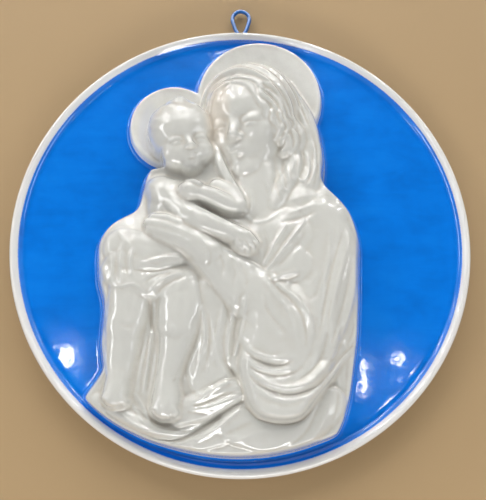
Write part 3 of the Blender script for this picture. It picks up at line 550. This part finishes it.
FACE = [(0, 12), (139, 12), (140.4, 12.1), (141.6, 12.4), (142.6, 12.9), (143.4, 13.6), (144.1, 14.5), (144.8, 15.4), (145.5, 16.2), (146.2, 16.8), (146.8, 17.1), (147.4, 17.2), (148.1, 17.0), (148.7, 16.5), (149.25, 15.8), (149.7, 14.9), (149.93, 14.0), (150, 13.2), (149.95, 12.2), (149.6, 11), (148.9, 9.5), (148, 8.2), (146.6, 7.0), (145, 6.2), (143, 5.4), (141, 5)]
REAR = [(135, 5), (129.4, 5), (128.2, 4.6), (127.7, 3.6), (127.4, 1.4), (127, 0.5), (126.2, 0), (122.5, 0), (118.8, 0), (118, 0.5), (117.6, 1.4), (117.3, 3.6), (116.8, 4.6), (115.6, 5), (100, 5), (60, 5), (20, 5)]

U1 = np.arange(-147.0, 147.0 + STEP, STEP); V1 = np.arange(-147.0, 147.0 + STEP, STEP)
U, V = np.meshgrid(U1, V1)
relief = Relief(U, V, -5.0)
run(relief)
RR = np.hypot(U, V)
fr = np.array(FACE)[:16]
base = np.interp(RR, fr[:, 0], fr[:, 1])
H = smax(relief.H, base, 0.8)
H = blur(H, 0.42, STEP)
wide = blur(H, 1.3, STEP)
H = smax(H, wide - 0.28, 0.4)
wave = sum(a * np.sin(2 * np.pi * (U * math.cos(t) + V * math.sin(t)) / L + p)
           for a, L, t, p in [(0.035, 9.0, 0.4, 0.0), (0.03, 6.5, 1.9, 1.0), (0.028, 7.7, 2.7, 2.0), (0.04, 14.0, 1.1, 3.0), (0.02, 5.0, 0.9, 0.5)])
H = -smax(-H, -(RELIEF_TOP - 0.2) + 0 * H, 0.4)
on = np.clip((H - GROUND - 1.5) / 3, 0, 1)
H = H + wave * (0.22 + 0.78 * on) * np.clip((141 - RR) / 4, 0, 1)

def sample(A, u, v):
    x = np.clip((u - U1[0]) / STEP, 0, len(U1) - 1.001); y = np.clip((v - V1[0]) / STEP, 0, len(V1) - 1.001)
    i, j = x.astype(int), y.astype(int); fx, fy = x - i, y - j
    return (A[j, i] * (1 - fx) + A[j, i + 1] * fx) * (1 - fy) + (A[j + 1, i] * (1 - fx) + A[j + 1, i + 1] * fx) * fy

# ---------- points: a lattice that gets finer where the surface bends
gy, gx = np.gradient(H, STEP)
gxy, gxx = np.gradient(gx, STEP); gyy, _ = np.gradient(gy, STEP)
bend = blur(np.sqrt(gxx ** 2 + 2 * gxy ** 2 + gyy ** 2) / (1 + gx ** 2 + gy ** 2) ** 0.75, 0.9, STEP)
want = np.sqrt(8 * 0.016 / np.maximum(bend, 1e-4))
FINE = 0.5
n = int(145 / FINE) + 1
ii, jj = np.meshgrid(np.arange(-n, n + 1), np.arange(-n, n + 1))
own = np.full(ii.shape, FINE)
for m in range(0, 4):
    s = 2 ** m
    q = (ii % s == 0) & (jj % s == 0)
    own[q] = FINE * s
    q2 = q & ((ii // s + jj // s) % 2 == 0)
    own[q2] = FINE * s * math.sqrt(2)
lu = ii * FINE + rng.uniform(-0.06, 0.06, ii.shape); lv = jj * FINE + rng.uniform(-0.06, 0.06, ii.shape)
lr = np.hypot(lu, lv)
limit = sample(want, lu, lv)
pick = (lr < 138.4)
budget = 74000
scale = 1.0
for _ in range(24):
    count = int((pick & (limit * scale <= own)).sum())
    if count > budget: scale *= 1.05
    elif count < budget * 0.97: scale *= 0.975
    else: break
keep = pick & (limit * scale <= own)
pts = np.stack([lu[keep], lv[keep]], 1)
top = lambda a: np.stack([a * np.cos(ang), a * np.sin(ang)], 1)
ang = np.arange(AROUND) * 2 * math.pi / AROUND
rings = [139.0, 139.7, 140.4, 141.0, 141.6, 142.1, 142.6, 143.0, 143.4, 143.75, 144.1, 144.5, 144.8]
pts = np.vstack([top(r) for r in rings] + [pts])
co, _, faces, _, _, _ = delaunay_2d_cdt([Vector(p) for p in pts.tolist()], [], [], 0, 1e-6)
co = np.array([tuple(c) for c in co]); faces = np.array(faces)
h = sample(H, co[:, 0], co[:, 1])
rad = np.hypot(co[:, 0], co[:, 1])
ring_end = np.abs(rad - 144.8) < 0.01
h = np.where(ring_end, 15.4, h)
a = co[faces[:, 1]] - co[faces[:, 0]]; b = co[faces[:, 2]] - co[faces[:, 0]]
flip = (a[:, 0] * b[:, 1] - a[:, 1] * b[:, 0]) < 0
faces[flip] = faces[flip][:, ::-1]
verts = np.stack([co[:, 0], -h, co[:, 1] - EYE_DROP], 1) * mm
# seen from -Y with +X right and +Z up, counter-clockwise faces look towards -Y
edge = np.nonzero(ring_end)[0]
edge = edge[np.argsort(np.arctan2(co[edge, 1], co[edge, 0]) % (2 * math.pi - 1e-9))]
assert len(edge) == AROUND, len(edge)

all_v = [verts]; total = len(verts); quads = []
prev = edge
th = np.arctan2(co[edge, 1], co[edge, 0])
profile = [p for p in FACE if p[0] > 144.9 or p[1] < 11.5] + REAR
for r, hh in profile:
    ringv = np.stack([r * np.cos(th), np.full(AROUND, -hh), r * np.sin(th) - EYE_DROP], 1) * mm
    all_v.append(ringv)
    cur = np.arange(total, total + AROUND); total += AROUND
    nx = np.roll(np.arange(AROUND), -1)
    quads.append(np.stack([prev, cur, cur[nx], prev[nx]], 1))
    prev = cur
all_v.append(np.array([[0, -BACK, -EYE_DROP]]) * mm)
fan = np.stack([prev, np.full(AROUND, total), np.roll(prev, -1)], 1)
total += 1
V3 = np.vstack(all_v)
polys = faces.tolist() + np.vstack(quads).tolist() + fan.tolist()
mesh = bpy.data.meshes.new("plaque_glazed")
mesh.from_pydata(V3.tolist(), [], polys)
mesh.update()
plaque = bpy.data.objects.new("plaque_glazed", mesh)
bpy.context.scene.collection.objects.link(plaque)
for p in mesh.polygons: p.use_smooth = True
print("plaque:", len(V3), "points,", sum(len(p) - 2 for p in polys), "triangles; relief top", round(float(h.max()), 2))

# ---------- the wire: one smooth tube along the same route as the CAD's
def centripetal(P, per):
    P = np.array(P, float); Q = np.vstack([2 * P[0] - P[1], P, 2 * P[-1] - P[-2]]); out = []
    for i in range(1, len(Q) - 2):
        p0, p1, p2, p3 = Q[i - 1:i + 3]
        d0, d1, d2 = (math.sqrt(math.dist(a, b)) for a, b in ((p0, p1), (p1, p2), (p2, p3)))
        if d0 < 1e-4: d0 = d1
        if d2 < 1e-4: d2 = d1
        t1 = (p1 - p0) / d0 - (p2 - p0) / (d0 + d1) + (p2 - p1) / d1
        t2 = (p2 - p1) / d1 - (p3 - p1) / (d1 + d2) + (p3 - p2) / d2
        t1, t2 = t1 * d1, t2 * d1
        for s in np.arange(per) / per:
            out.append(p1 + t1 * s + (-3 * p1 + 3 * p2 - 2 * t1 - t2) * s ** 2 + (2 * p1 - 2 * p2 + t1 + t2) * s ** 3)
    out.append(P[-1])
    return np.array(out)
foot_r = (FOOT_IN + FOOT_OUT) / 2; hole_x = 19.5; hole_z = math.sqrt(foot_r ** 2 - hole_x ** 2)
ex = EYE_W / 2 + WIRE_D / 2; et = EYE_DROP + WIRE_D / 2; em = et - ex - 0.6; pinch = EYE_DROP - EYE_H - WIRE_D / 2; px_ = WIRE_D / 2 + 0.45
L = math.hypot(hole_x - px_, hole_z - pinch + 4); dx, dz = (hole_x - px_) / L, (hole_z - pinch + 4) / L
half = [(0, et), (ex * 0.52, et - 0.95), (ex * 0.9, et - 3.6), (ex, em - 0.6), (ex * 0.86, em - 4.2), (px_ + 1.9, pinch + 4.4), (px_ + 0.15, pinch + 0.6), (px_ + 0.25, pinch - 3.2),
        (px_ + (hole_x - px_) * 0.3, (pinch - 4) + (hole_z - pinch + 4) * 0.3), (hole_x - dx * 9, hole_z - dz * 9), (hole_x, hole_z), (hole_x + dx * 10, hole_z + dz * 10), (hole_x + dx * 13.5 + 2.6, hole_z + dz * 13.5 + 0.9), (hole_x + dx * 14.5 + 9, hole_z + dz * 14.5 + 2.2)]
route = centripetal([(-x, z) for x, z in half[:0:-1]] + half, 12)
tan = np.gradient(route, axis=0); tan /= np.linalg.norm(tan, axis=1)[:, None]
side = np.stack([-tan[:, 1], tan[:, 0]], 1)
SIDES = 20; R0 = WIRE_D / 2
wv, wf = [], []
def ring_at(c, s, t, r, back):
    k = []
    for q in range(SIDES):
        a_ = 2 * math.pi * q / SIDES
        k.append(((c[0] + s[0] * r * math.cos(a_) + t[0] * back) * mm, -(WIRE_OFF + r * math.sin(a_)) * mm, (c[1] + s[1] * r * math.cos(a_) + t[1] * back - EYE_DROP) * mm))
    return k
seq = [(0, 0.45, -0.25), (0, 0.85, -0.08)] + [(i, 1.0, 0) for i in range(len(route))] + [(len(route) - 1, 0.85, 0.08), (len(route) - 1, 0.45, 0.25)]
seq = [(i, f, min(max(g, 0), 0) ) for i, f, g in seq]
for i, f, g in seq: wv += ring_at(route[i], side[i], tan[i], R0 * f, g)
for k in range(len(seq) - 1):
    for q in range(SIDES):
        q2 = (q + 1) % SIDES
        wf.append((k * SIDES + q, k * SIDES + q2, (k + 1) * SIDES + q2, (k + 1) * SIDES + q))
wf.append(tuple(range(SIDES))[::-1]); wf.append(tuple(range((len(seq) - 1) * SIDES, len(seq) * SIDES)))
wm = bpy.data.meshes.new("wire_coated"); wm.from_pydata(wv, [], wf); wm.update()
wire = bpy.data.objects.new("wire_coated", wm); bpy.context.scene.collection.objects.link(wire)
for p in wm.polygons: p.use_smooth = len(p.vertices) == 4

import bmesh
for ob in (plaque, wire):
    bm = bmesh.new(); bm.from_mesh(ob.data); bmesh.ops.recalc_face_normals(bm, faces=bm.faces)
    open_edges = sum(1 for e in bm.edges if len(e.link_faces) != 2)
    bm.to_mesh(ob.data); bm.free(); print(ob.name, "open edges:", open_edges)

# ---------- materials
class Nodes:
    def __init__(self, name):
        self.m = bpy.data.materials.new(name); self.m.use_nodes = True
        self.t = self.m.node_tree; self.t.nodes.clear()
        self.out = self.add("ShaderNodeOutputMaterial")
    def add(self, kind, **kw):
        n = self.t.nodes.new(kind)
        for k, v in kw.items(): setattr(n, k, v)
        return n
    def link(self, a, b): self.t.links.new(a, b)
    def math(self, op, a, b=None, clamp=False):
        n = self.add("ShaderNodeMath", operation=op, use_clamp=clamp)
        for i, x in enumerate((a, b)):
            if x is None: continue
            if isinstance(x, (int, float)): n.inputs[i].default_value = x
            else: self.link(x, n.inputs[i])
        return n.outputs[0]
    def noise(self, scale, detail=3.0, rough=0.5, vec=None, distort=0.0):
        n = self.add("ShaderNodeTexNoise"); n.inputs["Scale"].default_value = scale; n.inputs["Detail"].default_value = detail
        n.inputs["Roughness"].default_value = rough; n.inputs["Distortion"].default_value = distort
        if vec is not None: self.link(vec, n.inputs["Vector"])
        return n.outputs["Fac"]
    def ramp(self, x, stops):
        n = self.add("ShaderNodeValToRGB"); e = n.color_ramp.elements
        while len(e) < len(stops): e.new(0.5)
        for el, (pos, col) in zip(e, stops): el.position = pos; el.color = (*col, 1) if len(col) == 3 else col
        self.link(x, n.inputs[0]); return n.outputs[0]
    def mixc(self, f, a, b, mode="MIX"):
        n = self.add("ShaderNodeMix", data_type="RGBA", blend_type=mode)
        for i, x in ((0, f), (6, a), (7, b)):
            if isinstance(x, (int, float)): n.inputs[i].default_value = x
            elif isinstance(x, tuple): n.inputs[i].default_value = (*x, 1)
            else: self.link(x, n.inputs[i])
        return n.outputs[2]
    def step(self, x, lo, hi):
        n = self.add("ShaderNodeMapRange", interpolation_type="SMOOTHSTEP")
        n.inputs[1].default_value = lo; n.inputs[2].default_value = hi
        self.link(x, n.inputs[0]); return n.outputs[0]

g = Nodes("glazed earthenware")
pos = g.add("ShaderNodeTexCoord").outputs["Object"]
sep = g.add("ShaderNodeSeparateXYZ"); g.link(pos, sep.inputs[0])
height = g.math("MULTIPLY", sep.outputs["Y"], -1000.0)                    # mm off the wall
zc = g.math("ADD", sep.outputs["Z"], EYE_DROP * mm)
radius = g.math("MULTIPLY", g.math("SQRT", g.math("ADD", g.math("MULTIPLY", sep.outputs["X"], sep.outputs["X"]), g.math("MULTIPLY", zc, zc))), 1000.0)
wob = g.math("MULTIPLY", g.math("SUBTRACT", g.noise(260, 2), 0.5), 1.1)   # the brush's edge wanders
lift = g.math("ADD", height, wob)
lift = g.math("SUBTRACT", lift, g.math("MULTIPLY", g.step(radius, 136.0, 142.0), 2.2))
above = g.step(lift, PAINT - 0.3, PAINT + 0.3)
beyond = g.step(g.math("ADD", radius, g.math("MULTIPLY", wob, 0.5)), 144.0, 144.5)
white = g.math("MAXIMUM", above, beyond, clamp=True)
# blue: clear cobalt-cyan with brush streaks, and paler where the glaze is thin
st = g.add("ShaderNodeMapping"); g.link(pos, st.inputs[0]); st.inputs["Scale"].default_value = (16, 16, 60); st.inputs["Rotation"].default_value = (0, 0.5, 0)
streak = g.noise(1.2, 5, 0.6, st.outputs[0], 0.6)
patch = g.noise(14, 3, 0.55)
blue = g.ramp(g.math("ADD", g.math("MULTIPLY", streak, 0.55), g.math("MULTIPLY", patch, 0.45)), [(0.30, (0.0005, 0.150, 0.63)), (0.50, (0.001, 0.185, 0.75)), (0.72, (0.004, 0.225, 0.82))])
thin = g.math("MULTIPLY", g.step(lift, PAINT - 0.9, PAINT - 0.2), 0.12)
blue = g.mixc(thin, blue, (0.03, 0.32, 0.85))
# white: slightly warm tin glaze, thicker and greyer in the hollows
tone = g.noise(22, 4, 0.55)
fine = g.noise(420, 2, 0.5)
whitec = g.ramp(g.math("ADD", g.math("MULTIPLY", tone, 0.75), g.math("MULTIPLY", fine, 0.25)), [(0.32, (0.71, 0.705, 0.667)), (0.55, (0.765, 0.76, 0.725)), (0.75, (0.79, 0.79, 0.76))])
whitec = g.mixc(g.math("MULTIPLY", g.step(height, 20.6, 25.0), 0.75), whitec, (0.60, 0.597, 0.560))
geo = g.add("ShaderNodeNewGeometry")
hollow = g.math("SUBTRACT", 1.0, g.step(geo.outputs["Pointiness"], 0.44, 0.51))
whitec = g.mixc(g.math("MULTIPLY", hollow, 0.6), whitec, (0.46, 0.40, 0.31))
def patchy(cx, cz, a, b, lo, hi):      # soft oval of tint: 1 inside, 0 outside
    dx_ = g.math("DIVIDE", g.math("SUBTRACT", sep.outputs["X"], cx * mm), a * mm); dz_ = g.math("DIVIDE", g.math("SUBTRACT", zc, cz * mm), b * mm)
    return g.math("SUBTRACT", 1.0, g.step(g.math("ADD", g.math("MULTIPLY", dx_, dx_), g.math("MULTIPLY", dz_, dz_)), lo, hi))
whitec = g.mixc(g.math("MULTIPLY", patchy(-16, 80, 10, 34, 0.1, 1.0), 0.45), whitec, (0.70, 0.60, 0.49))
whitec = g.mixc(g.math("MULTIPLY", patchy(-62, 72, 9, 24, 0.1, 1.0), 0.35), whitec, (0.50, 0.54, 0.66))
rimc = g.step(radius, 143.0, 145.5)
whitec = g.mixc(g.math("MULTIPLY", rimc, 0.85), whitec, (0.82, 0.81, 0.79))
bleed = g.math("SUBTRACT", 1.0, g.step(lift, PAINT + 0.2, PAINT + 1.2))   # a little blue runs into the white
whitec = g.mixc(g.math("MULTIPLY", g.math("MULTIPLY", bleed, g.math("SUBTRACT", 1.0, rimc)), 0.10), whitec, (0.40, 0.55, 0.78))
colour = g.mixc(white, blue, whitec)
# unglazed clay on the foot ring's face and all over the back
foot = g.math("MULTIPLY", g.math("MULTIPLY", g.step(radius, 117.6, 118.2), g.math("SUBTRACT", 1.0, g.step(radius, 126.8, 127.4))), g.math("SUBTRACT", 1.0, g.step(height, 1.4, 2.2)))
foot = g.math("MAXIMUM", foot, g.math("MULTIPLY", g.math("SUBTRACT", 1.0, g.step(height, 6.4, 7.4)), g.math("SUBTRACT", 1.0, g.step(radius, 142.6, 143.6))))
clay = g.ramp(g.noise(300, 5, 0.65), [(0.35, (0.42, 0.25, 0.15)), (0.65, (0.55, 0.35, 0.22))])
colour = g.mixc(foot, colour, clay)
bs = g.add("ShaderNodeBsdfPrincipled")
g.link(colour, bs.inputs["Base Color"])
rough = g.math("ADD", g.math("MULTIPLY", g.noise(35, 3), 0.05), 0.085)
g.link(g.math("ADD", rough, g.math("MULTIPLY", foot, 0.5)), bs.inputs["Roughness"])
coat = g.math("MULTIPLY", g.math("SUBTRACT", 1.0, foot), 1.0)
g.link(coat, bs.inputs["Coat Weight"])
bs.inputs["Specular IOR Level"].default_value = 0.38
bs.inputs["Coat Roughness"].default_value = 0.045
bs.inputs["Coat IOR"].default_value = 1.62
bump = g.add("ShaderNodeBump"); bump.inputs["Distance"].default_value = 0.0004
g.link(g.math("ADD", g.math("MULTIPLY", white, 0.09), 0.03), bump.inputs["Strength"])
g.link(g.noise(110, 0.5, 0.4), bump.inputs["Height"])
g.link(bump.outputs[0], bs.inputs["Coat Normal"])
g.link(bump.outputs[0], bs.inputs["Normal"])
g.link(bs.outputs[0], g.out.inputs[0])
plaque.data.materials.append(g.m)

w = Nodes("blue wire coating")
wpos = w.add("ShaderNodeTexCoord").outputs["Object"]
wb = w.add("ShaderNodeBsdfPrincipled")
w.link(w.ramp(w.noise(180, 4, 0.6, wpos), [(0.3, (0.006, 0.11, 0.42)), (0.7, (0.014, 0.17, 0.58))]), wb.inputs["Base Color"])
w.link(w.math("ADD", w.math("MULTIPLY", w.noise(400, 3, 0.5, wpos), 0.18), 0.26), wb.inputs["Roughness"])
wbump = w.add("ShaderNodeBump"); wbump.inputs["Strength"].default_value = 0.3; wbump.inputs["Distance"].default_value = 0.0002
w.link(w.noise(900, 3, 0.5, wpos), wbump.inputs["Height"]); w.link(wbump.outputs[0], wb.inputs["Normal"])
w.link(wb.outputs[0], w.out.inputs[0])
wire.data.materials.append(w.m)

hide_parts("plaque"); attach(plaque, "root")
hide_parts("hanging_wire"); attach(wire, "root")

# ---------- stage: a plain pale surface that the plaque lies against, open behind the plaque so that its back can be looked at
def plain(name, radius, hole, loc, rot, col, n=96):
    turn = [(math.cos(2 * math.pi * k / n), math.sin(2 * math.pi * k / n)) for k in range(n)]
    me = bpy.data.meshes.new(name)
    me.from_pydata([(r * x, r * y, 0) for r in (hole, radius) for x, y in turn], [], [(k, n + k, n + (k + 1) % n, (k + 1) % n) for k in range(n)])
    o = bpy.data.objects.new(name, me); bpy.context.scene.collection.objects.link(o)
    o.location = loc; o.rotation_euler = rot
    s = Nodes(name); b_ = s.add("ShaderNodeBsdfPrincipled")
    p_ = s.add("ShaderNodeTexCoord").outputs["Object"]
    s.link(s.ramp(s.noise(3, 4, 0.5, p_), [(0.3, tuple(c * 0.97 for c in col)), (0.7, col)]), b_.inputs["Base Color"])
    b_.inputs["Roughness"].default_value = 0.7; b_.inputs["Specular IOR Level"].default_value = 0.1
    s.link(b_.outputs[0], s.out.inputs[0]); o.data.materials.append(s.m)
    o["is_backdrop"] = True; return o
wall = plain("pale wall", 2.26, 0.132, (0, 0.0012, -0.174), (math.radians(90), 0, 0), (0.43, 0.30, 0.162))

# ---------- camera: the photograph's, in plaque-centre millimetres turned to metres
yaw, pitch, roll = math.radians(-1.29), math.radians(14.5), math.radians(0.15)
Rm = Matrix.Rotation(yaw, 3, "Z") @ Matrix.Rotation(pitch, 3, "X") @ Matrix.Rotation(roll, 3, "Y")
right, fwd, up = (Rm @ Vector(v) for v in ((1, 0, 0), (0, 1, 0), (0, 0, 1)))
cam = bpy.data.cameras.new("camera"); co_ = bpy.data.objects.new("camera", cam)
bpy.context.scene.collection.objects.link(co_)
M = Matrix((right, up, -fwd)).transposed().to_4x4()
M.translation = (Vector((-7.6, -422.2, -115.5 - EYE_DROP)) - 0.72 * right + 0.84 * up) * mm
co_.matrix_world = M
cam.sensor_fit = "AUTO"; cam.sensor_width = 36; cam.lens = 46.8; cam.clip_start = 0.01
bpy.context.scene.camera = co_

# ---------- light: a ceiling of long narrow tubes beyond the plaque's crown, a soft fill, and a few small bright openings behind the viewer
def area(name, loc, aim, sx, sy, radiance, col=(1, 1, 1), up="Y"):
    l = bpy.data.lights.new(name, "AREA"); l.shape = "RECTANGLE"; l.size = sx; l.size_y = sy
    l.energy = radiance * sx * sy * math.pi; l.color = col
    o = bpy.data.objects.new(name, l); bpy.context.scene.collection.objects.link(o)
    o.location = loc; d = Vector(aim) - Vector(loc); o.rotation_euler = d.to_track_quat("-Z", up).to_euler()
    return o
C0 = Vector((0, 0, -0.174))
for i, x in enumerate((-1.9, -1.35, -0.92, -0.56, -0.24, 0.08, 0.42, 0.85, 1.5)):
    y0, y1, z = -1.9, -0.3, 1.25
    mid = (x, (y0 + y1) / 2, z); down = (x, (y0 + y1) / 2, -1)
    area("tube_%d" % i, mid, down, 0.05, y1 - y0, 23.5, (1.0, 0.985, 0.95)).visible_glossy = False      # what the tubes shed
    area("gleam_%d" % i, mid, down, 0.055, y1 - y0, 85, (1.0, 0.99, 0.97)).visible_diffuse = False     # what the glaze mirrors of them
area("soft_left", (-1.7, -1.25, -0.05), C0, 0.22, 1.5, 6.5)
area("soft_right", (1.8, -1.3, -0.3), C0, 0.16, 1.2, 5.5, (0.96, 0.98, 1.0))
area("low", (0.1, -0.75, -1.6), C0, 1.5, 0.35, 10, (1.0, 0.98, 0.95))
for i, (x_, z_, sx, sy) in enumerate([(-0.505, -0.115, 0.045, 0.075), (0.400, -0.165, 0.014, 0.10), (0.51, -0.115, 0.025, 0.025), (0.515, -0.189, 0.018, 0.018), (-0.02, 0.954, 0.10, 0.018)]):
    area("opening_%d" % i, (x_, -1.6, z_), C0, sx, sy, 26)
world = bpy.data.worlds.new("studio"); bpy.context.scene.world = world; world.use_nodes = True
wt = world.node_tree; bg = wt.nodes["Background"]
def wn(kind, **kw):
    n = wt.nodes.new(kind)
    for k, v in kw.items(): setattr(n, k, v)
    return n
tc = wn("ShaderNodeTexCoord"); dot = wn("ShaderNodeVectorMath", operation="DOT_PRODUCT"); dot.inputs[1].default_value = (0.0, -0.966, 0.259)
wt.links.new(tc.outputs["Generated"], dot.inputs[0])
mr = wn("ShaderNodeMapRange", interpolation_type="SMOOTHSTEP"); mr.inputs[1].default_value = 0.78; mr.inputs[2].default_value = 0.93
wt.links.new(dot.outputs["Value"], mr.inputs[0])
cr = wn("ShaderNodeValToRGB"); cr.color_ramp.elements[0].color = (0.86, 0.88, 0.91, 1); cr.color_ramp.elements[1].color = (0.10, 0.105, 0.12, 1)   # the dim side that the viewer stands on
wt.links.new(mr.outputs[0], cr.inputs[0]); wt.links.new(cr.outputs[0], bg.inputs[0]); bg.inputs[1].default_value = 0.31
bpy.context.scene.view_settings.view_transform = "Standard"

last_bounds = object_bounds()
def plainly(b): return json.loads(json.dumps(b, default=lambda o: [float(x) for x in o]))
{"first": plainly(first_bounds), "last": plainly(last_bounds)}
